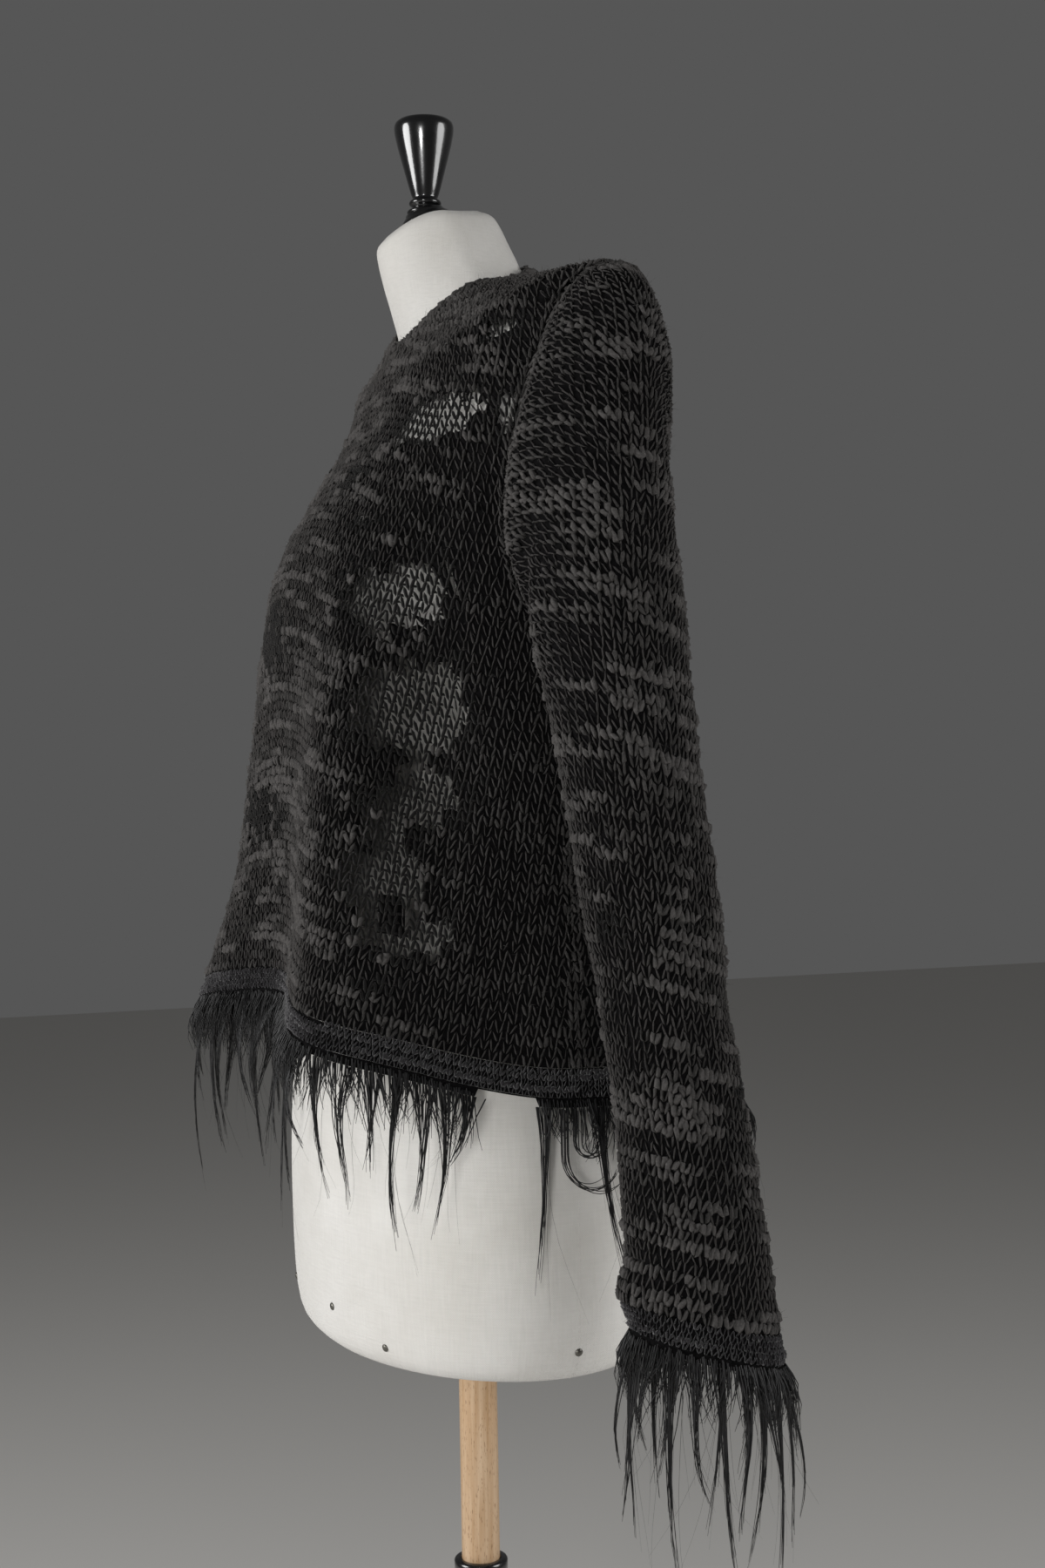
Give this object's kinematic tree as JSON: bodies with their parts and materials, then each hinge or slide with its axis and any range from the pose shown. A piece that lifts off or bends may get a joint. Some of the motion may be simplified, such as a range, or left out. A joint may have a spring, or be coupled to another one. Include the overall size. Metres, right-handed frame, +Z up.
{
  "type": "pullover sweater on dress form stand",
  "caption": "Boxy knitted pullover in charcoal slub yarn with long hair fringe at hem and cuffs, worn by a limbless dress form on a round-based pole stand.",
  "frame": {"origin": "middle of the base's underside, under the pole's axis", "axes": "+Z up, -Y the wearer's front, +X the wearer's left"},
  "size_m": [0.5984, 0.37, 1.5462],
  "materials": {
    "knit": "open stockinette of fuzzy charcoal slub yarn",
    "edge_knit": "dense fine knit band",
    "fringe_hair": "long black hair locks with a faint sheen",
    "canvas": "matt off-white canvas cover",
    "beech": "clear satin varnish",
    "black_lacquer": "gloss black"
  },
  "bodies": {
    "root": {"front_panel": "knit", "back_panel": "knit", "sleeve_left": "knit", "sleeve_right": "knit", "hem_band": "edge_knit", "cuff_band_left": "edge_knit", "cuff_band_right": "edge_knit", "hem_fringe_front": "fringe_hair", "hem_fringe_back": "fringe_hair", "cuff_fringe_left": "fringe_hair", "cuff_fringe_right": "fringe_hair", "form_torso": "canvas", "finial": "black_lacquer", "pole": "beech", "stand_tube": "black_lacquer", "stand_base": "black_lacquer"}
  },
  "joints": []
}
